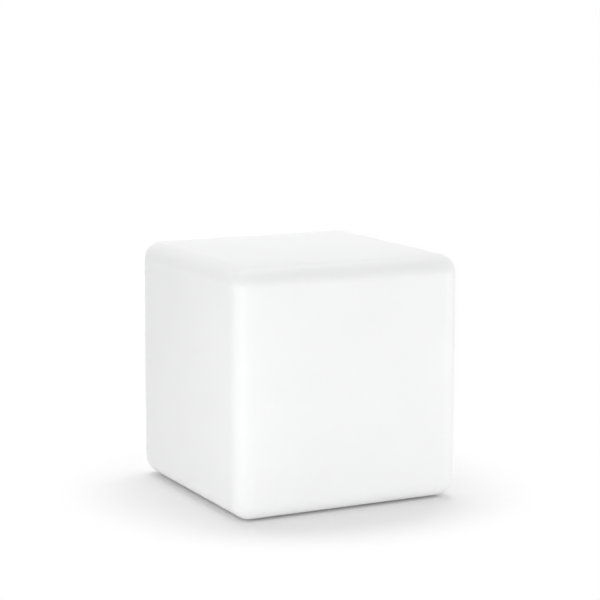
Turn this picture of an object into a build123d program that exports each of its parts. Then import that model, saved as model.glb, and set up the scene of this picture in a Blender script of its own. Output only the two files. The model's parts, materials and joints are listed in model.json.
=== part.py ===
from build123d import *
import math
import os

# Outdoor cube lamp. A hollow rotomoulded shell stands over a round base unit, which closes it from
# below and carries the lampholder, the bulb and the cable gland.
# Millimetres, +Z up, origin on the floor under the middle of the cube, cable side at +Y.

# Cube shell
shell_width = 400.0
shell_depth = 400.0
shell_height = 400.0
shell_wall = 4.0
shell_edge_radius = 31.0
floor_gap = 3.0
recess_gap = 3.0
recess_bevel = 3.0
channel_half_width = 9.0
channel_room = 2.0

# Base pan
base_radius = 100.0
seat_width = 25.0
pan_plate = 3.0
pan_wall = 2.5
skirt_wall = 2.0
rib_count = 12
rib_thickness = 2.0
rib_depth = 7.0
lug_count = 3
lug_width = 18.0
lug_wall = 2.5
lug_clearance = 0.5
lug_reach = 2.0
well_width = 64.0
well_length = 66.0
well_back = 18.0
well_corner = 8.0
well_lift = 1.5

# Gasket, feet, screws and moulded-in inserts
gasket_thickness = 1.5
gasket_margin = 2.0
foot_count = 4
foot_radius = 8.0
foot_seat_depth = 1.5
foot_bevel = 0.8
foot_stem_radius = 3.0
foot_stem_length = 9.0
foot_boss_wall = 2.2
screw_count = 6
screw_radius = 2.5
screw_head_radius = 4.75
screw_head_height = 3.3
screw_reach = 10.0
screw_hole_clearance = 0.3
insert_flats = 8.0
insert_length = 12.0
insert_clearance = 0.05
insert_bore_room = 0.5
insert_head_flats = 10.0
insert_head_height = 2.0
insert_boss_wall = 3.0

# Cable gland, of the usual hexagonal kind
gland_flats = 19.0
gland_thread_radius = 8.0
gland_room = 0.6
gland_bore_radius = 5.0
gland_hex_length = 5.0
gland_front_length = 9.0
gland_nut_hex_length = 8.0
gland_nut_nose = 6.0
gland_nose_bevel = 3.0
gland_washer_thickness = 1.2
locknut_thickness = 4.0
cable_bore_radius = 3.75
bush_wall = 2.2

# Terminal block
block_width = 24.0
block_length = 17.0
block_height = 14.0
block_base_height = 10.5
tower_spacing = 2.0
tower_corner = 2.0
block_gap_behind = 14.0
pole_spacing = 12.0
clamp_side = 6.0
clamp_bore_radius = 1.7
clamp_inset = 1.5
clamp_screw_radius = 1.5
clamp_screw_spacing = 7.0
clamp_screw_room = 1.0
clamp_screw_drop = 2.0
block_screw_radius = 1.5
block_screw_head_radius = 2.4
block_screw_head_height = 1.6
block_screw_head_room = 0.2
block_screw_seat = 5.25
screw_slot_width = 0.7
screw_slot_depth = 0.6

# Bent steel bridge that holds the lampholder over the well
bridge_thickness = 1.5
bridge_width = 24.0
bridge_span = 78.0
bridge_rise = 30.0
bridge_foot = 17.0
bridge_bend_radius = 3.0
bridge_boss_height = 6.0
bridge_boss_radius = 5.0
bridge_screw_radius = 2.0
bridge_screw_head_radius = 4.0
bridge_screw_head_height = 2.6
bridge_screw_length = 8.0
nipple_radius = 5.0
nipple_bore_radius = 4.0
nipple_above = 8.0
nipple_below = 7.0
nipple_nut_flats = 14.0
nipple_nut_height = 4.0

# Lampholder for a bulb with a 26 mm screw cap
holder_radius = 19.5
holder_wall = 2.0
holder_neck_radius = 8.0
holder_neck_height = 5.0
holder_cone_height = 10.0
holder_cap_height = 23.0
holder_lip_height = 5.0
holder_lip_wall = 1.6
holder_barrel_height = 35.0
holder_flute_count = 12
holder_flute_radius = 1.4
holder_insert_flange = 2.5
holder_insert_depth = 10.0
holder_insert_clearance = 0.1
socket_clearance = 0.5
contact_thickness = 0.6
contact_reach = 8.0
contact_foot = 3.2
contact_crest = 3.8
contact_tail = 2.4
contact_tail_drop = 1.2
contact_width = 5.0
contact_rise = 4.0
contact_gap = 0.3
terminal_hole_offset = 3.4

# Leads from the terminal block up to the lampholder
lead_radius = 1.1
lead_entry = 4.0
lead_loop = 10.0
lead_bends = [6.0, 9.0, 9.0]
lead_hole_clearance = 0.25

# Bulb
bulb_length = 112.0
bulb_radius = 30.0
bulb_cap_radius = 13.0
bulb_cap_wall = 0.5
bulb_cap_height = 21.0
bulb_tip_radius = 4.7
bulb_tip_height = 1.5
bulb_insulator_height = 5.0
bulb_insulator_plug = 2.0
bulb_wall = 2.0
housing_foot_radius = 14.0
housing_collar = 6.0
housing_bend_radius = 20.0
globe_wall = 1.2
globe_joint_drop = 10.5
globe_joint_gap = 0.3
led_board_thickness = 1.6
led_board_clearance = 0.4
led_count = 12
led_ring_radius = 15.5
led_size = 3.0
led_height = 0.8

# Levels that follow from the sizes above
gland_corner = gland_flats / math.sqrt(3)
shell_top = floor_gap + shell_height
well_bottom = floor_gap + well_lift
well_floor = well_bottom + pan_wall
gland_axis = well_floor + gland_room + gland_corner
plate_bottom = gland_axis + gland_corner + gland_room
plate_top = plate_bottom + pan_plate
recess_ceiling = plate_top + gasket_thickness
ceiling_top = recess_ceiling + shell_wall
recess_radius = base_radius + recess_gap
mouth_radius = base_radius - seat_width
channel_top = gland_axis + cable_bore_radius + channel_room
screw_circle = base_radius - seat_width / 2
foot_boss_radius = foot_radius + foot_boss_wall
foot_circle = base_radius - skirt_wall - foot_boss_radius - foot_boss_wall
insert_boss_radius = insert_head_flats / math.sqrt(3) + insert_boss_wall
boss_top = plate_top + bridge_boss_height
bridge_top = boss_top + bridge_rise
cap_rim = bridge_top + holder_cap_height
insert_seat = cap_rim + holder_lip_height
insert_face = insert_seat + holder_insert_flange
bulb_bottom = insert_face + contact_rise
insulator_bottom = bulb_bottom + bulb_tip_height
bulb_cap_bottom = insulator_bottom + bulb_insulator_height
housing_bottom = bulb_cap_bottom + bulb_cap_height
globe_centre = bulb_bottom + bulb_length - bulb_radius
globe_joint = globe_centre - globe_joint_drop
globe_joint_radius = math.sqrt(bulb_radius**2 - globe_joint_drop**2)
block_bottom = well_floor
block_middle = well_back - pan_wall - block_gap_behind - block_length / 2
clamp_axis = block_bottom + block_height / 2


def ring_places(radius, count, first_angle=0.0):
    """Points evenly spaced on a circle about the Z axis."""
    places = []
    for turn in range(count):
        angle = math.radians(first_angle + 360 * turn / count)
        places.append((radius * math.cos(angle), radius * math.sin(angle)))
    return places


def screw_places():
    """Base screws, spaced so that none stands in the way of the cable at the rear."""
    return ring_places(screw_circle, screw_count, 90 + 180 / screw_count)


def foot_places():
    return ring_places(foot_circle, foot_count, 90 + 180 / foot_count)


def turned(points):
    """A solid of revolution about Z, from the (radius, height) corners of its outline."""
    return revolve(Plane.XZ * make_face(Polyline(*points, close=True)), Axis.Z)


def rod(radius, bottom, top, x=0.0, y=0.0):
    return Pos(x, y, bottom) * extrude(Circle(radius), top - bottom)


def tube(outer, inner, bottom, top):
    return rod(outer, bottom, top) - rod(inner, bottom, top)


def group(solids):
    return Compound(children=list(solids))


def rounded_block(width, depth, bottom, top, radius):
    """A block with every edge and corner rounded alike."""
    block = Pos(0, 0, (bottom + top) / 2) * Box(width, depth, top - bottom)
    return fillet(block.edges(), radius)


def cable_slot(half_width, bottom, top, start, end):
    """A round-topped slot along Y, wide enough for the cable to leave by."""
    spring_line = top - half_width
    outline = Polyline(
        (-half_width, spring_line), (-half_width, bottom), (half_width, bottom), (half_width, spring_line)
    )
    crown = ThreePointArc((half_width, spring_line), (0, top), (-half_width, spring_line))
    face = Plane.XZ * make_face(outline + crown)
    return Pos(0, end, 0) * extrude(face, end - start)


def diffuser_shell():
    """Hollow cube with a round recess underneath, a mouth in its ceiling and a slot for the cable."""
    skin = rounded_block(shell_width, shell_depth, floor_gap, shell_top, shell_edge_radius)
    cavity = rounded_block(
        shell_width - 2 * shell_wall,
        shell_depth - 2 * shell_wall,
        floor_gap + shell_wall,
        shell_top - shell_wall,
        shell_edge_radius - shell_wall,
    )
    outer_radius = recess_radius + shell_wall
    bevel = recess_bevel
    recess_cover = turned(
        [
            (0, floor_gap),
            (outer_radius, floor_gap),
            (outer_radius, ceiling_top - bevel),
            (outer_radius - bevel, ceiling_top),
            (0, ceiling_top),
        ]
    )
    slot_cover = cable_slot(
        channel_half_width + shell_wall, floor_gap, channel_top + shell_wall, mouth_radius, shell_depth / 2
    )
    cavity -= recess_cover
    cavity -= slot_cover
    for x, y in screw_places():
        cavity -= rod(insert_boss_radius, recess_ceiling, insert_top() + shell_wall, x, y)
    shell = skin - cavity
    recess = turned(
        [
            (0, 0),
            (recess_radius + bevel, 0),
            (recess_radius + bevel, floor_gap),
            (recess_radius, floor_gap + bevel),
            (recess_radius, recess_ceiling - bevel),
            (recess_radius - bevel, recess_ceiling),
            (0, recess_ceiling),
        ]
    )
    shell -= recess
    shell -= rod(mouth_radius, recess_ceiling - shell_wall, ceiling_top + shell_wall)
    shell -= cable_slot(channel_half_width, 0, channel_top, mouth_radius, shell_depth)
    for x, y in screw_places():
        shell -= insert_body(x, y)
    return shell


def insert_top():
    return recess_ceiling + insert_length


def insert_body(x, y):
    """The outside of one moulded-in insert: hexagonal, with a wider head that locks it in the plastic."""
    body = hexagon(insert_flats, insert_length)
    head = Pos(0, 0, insert_length - insert_head_height) * hexagon(insert_head_flats, insert_head_height)
    return Pos(x, y, recess_ceiling) * (body + head)


def threaded_inserts():
    bore = screw_radius + insert_clearance
    depth = screw_reach + insert_bore_room
    inserts = []
    for x, y in screw_places():
        inserts.append(insert_body(x, y) - rod(bore, recess_ceiling, recess_ceiling + depth, x, y))
    return group(inserts)


def well_block(bottom, top, inset):
    """The terminal well's rounded rectangle, drawn in by inset on every side."""
    outline = RectangleRounded(
        well_width - 2 * inset, well_length - 2 * inset, max(well_corner - inset, well_corner / 4)
    )
    return Pos(0, well_back - well_length / 2, bottom) * extrude(outline, top - bottom)


def bridge_boss_offset():
    """How far each bridge screw stands from the middle."""
    return bridge_span / 2 + (bridge_thickness + bridge_foot) / 2


def locating_lugs():
    """Short curved lugs that stand up into the shell's mouth and centre it."""
    outer = mouth_radius - lug_clearance
    ring = tube(outer, outer - lug_wall, plate_top, ceiling_top + lug_reach)
    slab = Pos(outer, 0, ceiling_top) * Box(2 * lug_wall + lug_width, lug_width, 2 * ceiling_top)
    return group(ring & Rot(0, 0, 90 + 360 * turn / lug_count) * slab for turn in range(lug_count))


def base_pan():
    """Round tray: plate, skirt, ribs, locating lugs, terminal well, foot bosses and bridge bosses."""
    rim = base_radius - skirt_wall
    bevel = recess_bevel
    tray = turned(
        [
            (0, floor_gap),
            (base_radius, floor_gap),
            (base_radius, plate_top - bevel),
            (base_radius - bevel, plate_top),
            (0, plate_top),
        ]
    )
    tray -= rod(rim, floor_gap, plate_bottom)
    rib_bottom = plate_bottom - rib_depth
    for turn in range(rib_count):
        angle = 360 * (turn + 0.5) / rib_count
        rib = Pos(rim / 2, 0, (rib_bottom + plate_bottom) / 2) * Box(rim, rib_thickness, rib_depth)
        tray += Rot(0, 0, angle) * rib
    for x, y in foot_places():
        tray += rod(foot_boss_radius, floor_gap, plate_bottom, x, y)
    tray += well_block(well_bottom, plate_top, 0)
    cable_way = channel_half_width + rib_thickness
    run = Pos(0, (well_back + rim) / 2, plate_bottom / 2)
    tray -= run * Box(2 * max(cable_way, gland_corner + gland_room), rim - well_back, plate_bottom)
    tray -= cable_slot(channel_half_width, 0, channel_top, well_back, base_radius + recess_gap)
    tray += locating_lugs()
    for side in (-1, 1):
        x = side * bridge_boss_offset()
        tray += rod(bridge_boss_radius, plate_top, boss_top, x)
        tray -= rod(bridge_screw_radius, boss_top - bridge_screw_length, boss_top, x)
    tray -= well_block(well_floor, plate_top, pan_wall)
    tray -= Pos(0, well_back, gland_axis) * Rot(90, 0, 0) * extrude(Circle(gland_thread_radius), pan_wall)
    tray -= rod(block_screw_radius, well_floor - pan_wall / 2, well_floor, 0, block_middle)
    for x, y in screw_places():
        tray -= rod(screw_radius + screw_hole_clearance, plate_bottom, plate_top, x, y)
    foot_top = floor_gap + foot_seat_depth
    for x, y in foot_places():
        tray -= rod(foot_radius, floor_gap, foot_top, x, y)
        tray -= rod(foot_stem_radius, foot_top, foot_top + foot_stem_length, x, y)
    return tray


def base_gasket():
    inner = mouth_radius + gasket_margin
    outer = base_radius - recess_bevel - gasket_margin
    gasket = tube(outer, inner, plate_top, recess_ceiling)
    for x, y in screw_places():
        gasket -= rod(screw_radius + screw_hole_clearance, plate_top, recess_ceiling, x, y)
    return gasket


def rubber_feet():
    """Flat pads with a bevelled sole and a plug that presses into the boss above."""
    pad_top = floor_gap + foot_seat_depth
    stem_top = pad_top + foot_stem_length
    foot = turned(
        [
            (0, 0),
            (foot_radius - foot_bevel, 0),
            (foot_radius, foot_bevel),
            (foot_radius, pad_top),
            (foot_stem_radius, pad_top),
            (foot_stem_radius, stem_top),
            (0, stem_top),
        ]
    )
    return group(Pos(x, y, 0) * foot for x, y in foot_places())


def pan_head_screw(shank, head, head_height, length):
    """A screw standing on its head, the seat of the head at the origin and the shank upwards."""
    return rod(head, -head_height, 0) + rod(shank, 0, length)


def base_screws():
    length = pan_plate + gasket_thickness + screw_reach
    screw = pan_head_screw(screw_radius, screw_head_radius, screw_head_height, length)
    return group(Pos(x, y, plate_bottom) * screw for x, y in screw_places())


def along_y(start, solid):
    """Lays a solid that was built up along Z onto the gland's axis, from start towards the rear."""
    return Pos(0, start, gland_axis) * Rot(-90, 0, 0) * solid


def hexagon(flats, height):
    """A hexagonal prism standing on the origin, one pair of flats facing +Y and -Y."""
    return extrude(RegularPolygon(flats / 2, 6, major_radius=False, rotation=0), height)


def gland_body():
    tail = pan_wall + locknut_thickness + gland_washer_thickness + gland_room
    body = Pos(0, 0, -tail) * extrude(Circle(gland_thread_radius), tail + gland_hex_length)
    body += hexagon(gland_flats, gland_hex_length)
    total = gland_hex_length + gland_front_length
    body += extrude(Circle(gland_thread_radius - gland_room), total)
    body -= rod(gland_bore_radius, -tail, total)
    body -= rod(cable_bore_radius + bush_wall, gland_hex_length, total)
    return along_y(well_back + gland_washer_thickness, body)


def gland_washer():
    washer = tube(gland_flats / 2, gland_thread_radius, 0, gland_washer_thickness)
    return along_y(well_back, washer)


def gland_locknut():
    nut = hexagon(gland_flats, locknut_thickness)
    nut -= rod(gland_thread_radius, 0, locknut_thickness)
    return along_y(well_back - pan_wall - locknut_thickness, nut)


def gland_bush():
    bush = tube(cable_bore_radius + bush_wall, cable_bore_radius, gland_hex_length, gland_front())
    return along_y(well_back + gland_washer_thickness, bush)


def gland_front():
    return gland_hex_length + gland_front_length


def gland_nut():
    """Clamping nut: a hexagon with a tapered nose, bored for the cable."""
    nose_top = gland_nut_hex_length + gland_nut_nose
    nose_radius = gland_flats / 2
    body = hexagon(gland_flats, gland_nut_hex_length)
    body += turned(
        [
            (0, 0),
            (nose_radius, 0),
            (nose_radius, nose_top - gland_nose_bevel),
            (nose_radius - gland_nose_bevel, nose_top),
            (0, nose_top),
        ]
    )
    body -= rod(gland_thread_radius - gland_room, 0, gland_front_length)
    body -= rod(gland_bore_radius, 0, nose_top)
    return along_y(well_back + gland_washer_thickness + gland_hex_length, body)


def pole_places():
    return [(side * pole_spacing / 2, block_middle) for side in (-1, 1)]


def clamp_screw_places():
    places = []
    for x, y in pole_places():
        places.append((x, y - clamp_screw_spacing / 2))
        places.append((x, y + clamp_screw_spacing / 2))
    return places


def clamp_cage(x, length):
    """A square bar along Y at one pole, centred on the wire's axis."""
    return Pos(x, block_middle, clamp_axis) * Box(clamp_side, length, clamp_side)


def terminal_block():
    """Two-pole block with a rounded tower over each pole and a screw well at each clamp."""
    base = Pos(0, block_middle, block_bottom + block_base_height / 2)
    block = base * Box(block_width, block_length, block_base_height)
    for x, _ in pole_places():
        tower = RectangleRounded(pole_spacing - tower_spacing, block_length, tower_corner)
        block += Pos(x, block_middle, block_bottom) * extrude(tower, block_height)
    for x, _ in pole_places():
        block -= clamp_cage(x, block_length)
    for x, y in clamp_screw_places():
        block -= rod(clamp_screw_radius + clamp_screw_room, clamp_axis, block_bottom + block_height, x, y)
    seat = block_bottom + block_screw_seat
    block -= rod(block_screw_radius, block_bottom, seat, 0, block_middle)
    block -= rod(block_screw_head_radius + block_screw_head_room, seat, block_bottom + block_height, 0, block_middle)
    return block


def terminal_clamps():
    """Brass cages, each bored for the wires and tapped from above for its two screws."""
    length = block_length - 2 * clamp_inset
    bore = Rot(90, 0, 0) * extrude(Circle(clamp_bore_radius), length / 2, both=True)
    clamps = []
    for x, _ in pole_places():
        clamp = clamp_cage(x, length) - Pos(x, block_middle, clamp_axis) * bore
        for sx, sy in clamp_screw_places():
            if sx == x:
                clamp -= rod(clamp_screw_radius, clamp_axis, clamp_axis + clamp_side / 2, sx, sy)
        clamps.append(clamp)
    return group(clamps)


def slotted(screw, x, y, top):
    """Cuts a driver slot along X into the top of a screw."""
    reach = 4 * block_screw_head_radius
    return screw - Pos(x, y, top) * Box(reach, screw_slot_width, 2 * screw_slot_depth)


def clamp_screws():
    """Slotted grub screws, each standing just clear of the wire that it holds."""
    bottom = clamp_axis + lead_radius + lead_hole_clearance
    top = block_bottom + block_height - clamp_screw_drop
    screws = []
    for x, y in clamp_screw_places():
        screws.append(slotted(rod(clamp_screw_radius, bottom, top, x, y), x, y, top))
    return group(screws)


def block_screw():
    seat = block_bottom + block_screw_seat
    top = seat + block_screw_head_height
    shank = rod(block_screw_radius, well_floor - pan_wall / 2, seat, 0, block_middle)
    head = rod(block_screw_head_radius, seat, top, 0, block_middle)
    return slotted(shank + head, 0, block_middle, top)


def holder_bracket():
    """Bridge bent from one strip: two feet, two legs and a top with a hole for the nipple."""
    half = bridge_span / 2 + bridge_thickness
    foot_end = half + bridge_foot
    outer_bend = bridge_bend_radius + bridge_thickness
    upper = boss_top + bridge_thickness
    outline = FilletPolyline(
        (-foot_end, upper),
        (-half, upper),
        (-half, bridge_top),
        (half, bridge_top),
        (half, upper),
        (foot_end, upper),
        radius=[bridge_bend_radius, outer_bend, outer_bend, bridge_bend_radius],
    )
    t = bridge_thickness
    underside = FilletPolyline(
        (foot_end, boss_top),
        (half - t, boss_top),
        (half - t, bridge_top - t),
        (t - half, bridge_top - t),
        (t - half, boss_top),
        (-foot_end, boss_top),
        radius=[outer_bend, bridge_bend_radius, bridge_bend_radius, outer_bend],
    )
    ends = Line((foot_end, upper), (foot_end, boss_top)) + Line((-foot_end, boss_top), (-foot_end, upper))
    face = Plane.XZ * make_face(outline + underside + ends)
    bridge = extrude(face, bridge_width / 2, both=True)
    bridge -= rod(nipple_radius, bridge_top - t, bridge_top)
    for side in (-1, 1):
        x = side * bridge_boss_offset()
        bridge -= rod(bridge_screw_radius, boss_top, upper, x)
    foot_edges = bridge.edges().filter_by(Axis.Z).group_by(SortBy.LENGTH)[0]
    return fillet(foot_edges, bridge_bend_radius)


def bridge_screws():
    screw = pan_head_screw(
        bridge_screw_radius,
        bridge_screw_head_radius,
        bridge_screw_head_height,
        bridge_screw_length + bridge_thickness,
    )
    turned_over = Rot(180, 0, 0) * screw
    level = boss_top + bridge_thickness
    return group(Pos(side * bridge_boss_offset(), 0, level) * turned_over for side in (-1, 1))


def holder_nipple():
    low = bridge_top - bridge_thickness - nipple_below
    return tube(nipple_radius, nipple_bore_radius, low, bridge_top + nipple_above)


def nipple_nut():
    low = bridge_top - bridge_thickness - nipple_nut_height
    nut = Pos(0, 0, low) * hexagon(nipple_nut_flats, nipple_nut_height)
    return nut - rod(nipple_radius, low, low + nipple_nut_height)


def holder_lip_radius():
    return holder_radius - holder_wall + holder_lip_wall / 4


def holder_cap():
    """Cap with a threaded neck, a cone and a plain band whose thinner lip takes the barrel."""
    z = bridge_top
    neck_top = z + holder_neck_height
    cone_top = neck_top + holder_cone_height
    lip = holder_lip_radius()
    inner = lip - holder_lip_wall
    return turned(
        [
            (nipple_radius, z),
            (holder_neck_radius, z),
            (holder_neck_radius, neck_top),
            (holder_radius, cone_top),
            (holder_radius, cap_rim),
            (lip, cap_rim),
            (lip, insert_seat),
            (inner, insert_seat),
            (inner, cone_top + holder_wall),
            (nipple_radius, neck_top + holder_wall),
        ]
    )


def insert_core_radius():
    return holder_lip_radius() - holder_lip_wall - holder_insert_clearance


def holder_insert():
    """Disc of hard plastic that carries the contacts, clamped between cap and barrel."""
    insert = rod(insert_core_radius(), insert_seat - holder_insert_depth, insert_face)
    insert += rod(holder_lip_radius() - holder_insert_clearance, insert_seat, insert_face)
    hole = lead_radius + lead_hole_clearance
    low = insert_seat - holder_insert_depth
    for side in (-1, 1):
        insert -= rod(hole, low, low + holder_insert_depth / 2, side * terminal_hole_offset)
    return insert


def centre_contact():
    """Sprung tongue that rises from the insert to meet the bulb's tip."""
    t = contact_thickness
    low = insert_face
    top = bulb_bottom - contact_gap
    crest = contact_crest / 2
    bend = contact_foot - contact_reach
    tail = crest + contact_tail
    points = [
        (-contact_reach, low),
        (-contact_reach, low + t),
        (bend, low + t),
        (-crest, top),
        (crest, top),
        (tail, top - contact_tail_drop),
        (tail, top - contact_tail_drop - t),
        (crest, top - t),
        (t - crest, top - t),
        (bend + t, low),
    ]
    face = Plane.XZ * make_face(Polyline(*points, close=True))
    return extrude(face, contact_width / 2, both=True)


def side_contact():
    """Upright tab that meets the lower rim of the bulb's screw cap."""
    t = contact_thickness
    outer = bulb_cap_radius - bulb_cap_wall / 2
    top = bulb_cap_bottom - 2 * contact_gap
    points = [
        (outer - 3 * t, insert_face),
        (outer, insert_face),
        (outer, top),
        (outer - t, top),
        (outer - t, insert_face + t),
        (outer - 3 * t, insert_face + t),
    ]
    face = Plane.XZ * make_face(Polyline(*points, close=True))
    return extrude(face, contact_width / 2, both=True)


def holder_barrel():
    """Fluted outer barrel with a plain seat over the cap's lip and a bore for the bulb's cap."""
    top = cap_rim + holder_barrel_height
    socket = bulb_cap_radius + socket_clearance
    taper = holder_wall / 2
    barrel = turned(
        [
            (holder_lip_radius(), cap_rim),
            (holder_radius, cap_rim),
            (holder_radius - taper, top),
            (socket + taper, top),
            (socket, top - taper * 2),
            (socket, insert_face),
            (holder_lip_radius(), insert_face),
        ]
    )
    low = cap_rim + holder_wall
    high = cap_rim + holder_barrel_height / 2
    for x, y in ring_places(holder_radius + holder_flute_radius / 3, holder_flute_count):
        barrel -= rod(holder_flute_radius, low, high, x, y)
    return barrel


def lead(side):
    """One insulated lead from its clamp, up through the nipple, to its terminal in the lampholder."""
    pole = side * pole_spacing / 2
    front = block_middle - block_length / 2
    nipple_low = bridge_top - bridge_thickness - nipple_below
    route = [
        (pole, front + lead_entry, clamp_axis),
        (pole, front - lead_loop, clamp_axis),
        (pole, front - lead_loop, plate_top + lead_loop),
        (side * (lead_radius + lead_hole_clearance), 0, nipple_low - lead_loop),
        (side * terminal_hole_offset, 0, insert_seat - holder_insert_depth + lead_entry),
    ]
    path = FilletPolyline(*route, radius=lead_bends)
    section = Plane(origin=path @ 0, z_dir=path % 0) * Circle(lead_radius)
    insulation = sweep(section, path=path)
    ratio = insulation.volume / (math.pi * lead_radius**2 * path.length)
    print("lead", side, "length", round(path.length, 1), "volume ratio", round(ratio, 4), "bends", lead_bends)
    return insulation


def bulb_tip():
    """Solder contact at the foot of the bulb, with a bevelled edge."""
    bevel = bulb_tip_height / 2
    return turned(
        [
            (0, bulb_bottom),
            (bulb_tip_radius - bevel, bulb_bottom),
            (bulb_tip_radius, bulb_bottom + bevel),
            (bulb_tip_radius, insulator_bottom),
            (0, insulator_bottom),
        ]
    )


def bulb_insulator():
    inner = bulb_cap_radius - bulb_cap_wall
    plug_top = bulb_cap_bottom + bulb_insulator_plug
    return turned(
        [
            (0, insulator_bottom),
            (bulb_tip_radius, insulator_bottom),
            (inner, bulb_cap_bottom),
            (inner, plug_top),
            (0, plug_top),
        ]
    )


def bulb_cap():
    return tube(bulb_cap_radius, bulb_cap_radius - bulb_cap_wall, bulb_cap_bottom, housing_bottom)


def bulb_housing():
    """Moulded body that flares from the screw cap to the globe, with a shallow seat for the LED board."""
    sleeve = bulb_cap_radius - bulb_cap_wall
    low = bulb_cap_bottom + bulb_cap_height / 2
    side = FilletPolyline(
        (housing_foot_radius, housing_bottom),
        (housing_foot_radius, housing_bottom + housing_collar),
        (globe_joint_radius, globe_joint),
        radius=housing_bend_radius,
    )
    rest = Polyline(side @ 1, (0, globe_joint), (0, low), (sleeve, low), (sleeve, housing_bottom), side @ 0)
    body = revolve(Plane.XZ * make_face(side + rest), Axis.Z)
    return body - rod(led_board_radius() + led_board_clearance, board_level(), globe_joint)


def bulb_globe():
    """Opal dome, more than half a ball, cut open where it meets the housing."""
    ball = Pos(0, 0, globe_centre) * Sphere(bulb_radius)
    ball -= Pos(0, 0, globe_centre) * Sphere(bulb_radius - globe_wall)
    low = globe_joint + globe_joint_gap
    return ball & rod(bulb_radius + globe_wall, low, globe_centre + bulb_radius + globe_wall)


def board_level():
    return globe_joint - led_board_thickness


def led_board_radius():
    return globe_joint_radius - bulb_wall - led_board_clearance


def led_board():
    """Aluminium board let into the housing's top, with a hole for the wires."""
    z = board_level()
    board = rod(led_board_radius(), z, z + led_board_thickness)
    return board - rod(led_size / 2, z, z + led_board_thickness)


def led_chips():
    z = board_level() + led_board_thickness
    chip = Pos(0, 0, z + led_height / 2) * Box(led_size, led_size, led_height)
    chips = []
    for x, y in ring_places(led_ring_radius, led_count):
        chips.append(Pos(x, y, 0) * Rot(0, 0, math.degrees(math.atan2(y, x))) * chip)
    return group(chips)


def main():
    os.makedirs("parts", exist_ok=True)
    pieces = {
        "diffuser_shell": diffuser_shell(),
        "threaded_inserts": threaded_inserts(),
        "base_pan": base_pan(),
        "base_gasket": base_gasket(),
        "rubber_feet": rubber_feet(),
        "base_screws": base_screws(),
        "gland_body": gland_body(),
        "gland_washer": gland_washer(),
        "gland_locknut": gland_locknut(),
        "gland_bush": gland_bush(),
        "gland_nut": gland_nut(),
        "terminal_block": terminal_block(),
        "terminal_clamps": terminal_clamps(),
        "clamp_screws": clamp_screws(),
        "block_screw": block_screw(),
        "holder_bracket": holder_bracket(),
        "bridge_screws": bridge_screws(),
        "holder_nipple": holder_nipple(),
        "nipple_nut": nipple_nut(),
        "holder_cap": holder_cap(),
        "holder_insert": holder_insert(),
        "centre_contact": centre_contact(),
        "side_contact": side_contact(),
        "holder_barrel": holder_barrel(),
        "lead_live": lead(1),
        "lead_neutral": lead(-1),
        "bulb_tip": bulb_tip(),
        "bulb_insulator": bulb_insulator(),
        "bulb_cap": bulb_cap(),
        "bulb_housing": bulb_housing(),
        "bulb_globe": bulb_globe(),
        "led_board": led_board(),
        "led_chips": led_chips(),
    }
    for name, solid in pieces.items():
        export_step(solid, f"parts/{name}.step")
    print("bulb top", round(bulb_bottom + bulb_length, 2), "recess ceiling", round(recess_ceiling, 2))


main()
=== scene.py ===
import json
import math

import bmesh
import bpy
from mathutils import Matrix, Vector

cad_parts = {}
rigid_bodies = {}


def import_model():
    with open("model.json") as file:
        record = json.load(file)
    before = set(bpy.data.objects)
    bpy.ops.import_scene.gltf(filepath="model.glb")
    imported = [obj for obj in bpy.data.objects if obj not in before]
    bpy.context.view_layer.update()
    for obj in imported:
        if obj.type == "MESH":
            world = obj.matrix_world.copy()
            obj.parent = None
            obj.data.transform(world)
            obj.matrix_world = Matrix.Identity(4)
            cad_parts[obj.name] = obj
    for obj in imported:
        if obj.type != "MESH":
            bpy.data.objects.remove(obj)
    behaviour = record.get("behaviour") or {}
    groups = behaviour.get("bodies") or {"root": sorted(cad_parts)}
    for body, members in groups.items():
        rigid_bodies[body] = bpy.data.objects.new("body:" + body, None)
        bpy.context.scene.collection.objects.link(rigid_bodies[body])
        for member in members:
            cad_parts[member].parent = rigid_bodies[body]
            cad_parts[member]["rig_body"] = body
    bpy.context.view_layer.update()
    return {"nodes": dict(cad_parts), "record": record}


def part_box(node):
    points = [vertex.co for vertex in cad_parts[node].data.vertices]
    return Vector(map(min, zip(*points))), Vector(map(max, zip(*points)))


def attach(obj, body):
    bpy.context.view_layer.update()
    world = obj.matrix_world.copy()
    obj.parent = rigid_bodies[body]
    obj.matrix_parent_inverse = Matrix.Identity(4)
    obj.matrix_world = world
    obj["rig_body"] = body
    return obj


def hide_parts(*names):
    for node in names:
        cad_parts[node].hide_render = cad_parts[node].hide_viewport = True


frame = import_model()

MM = 0.001

# Camera, fitted to the photograph, in the lamp's own frame: metres and degrees, with the lens and
# the sensor in millimetres
CAMERA_PLACE = (-1.4760, -2.9408, 0.8394)
CAMERA_YAW = 26.754
CAMERA_PITCH = 9.053
CAMERA_LENS = 120.36
CAMERA_SENSOR = 36

# Studio: surround, and soft boxes as name, place, aim, width, height and power
WORLD_LIGHT = 0.54
LAMPS = [
    ("above", (0.2, 0.6, 2.2), (0, 0, 0.1), 2.0, 1.0, 19.5),
    ("front", (-0.2, -2.2, 0.16), (0, 0, 0.2), 1.2, 0.28, 3.9),
    ("left", (-1.3, -0.95, 0.16), (-0.1, -0.1, 0.2), 0.5, 0.28, 5.8),
    ("right", (1.6, -1.2, 0.16), (0.1, -0.1, 0.2), 0.8, 0.28, 8),
    ("back", (0.2, 2.1, 0.16), (0, 0.1, 0.2), 1.0, 0.28, 5),
]

# Floor: its size, and the distances up to which it shows the shadow and from which it is white
FLOOR_SIZE = 60
FLOOR_SHOWS_SHADOW_TO = 0.24
FLOOR_ALL_WHITE_FROM = 0.42

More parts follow.
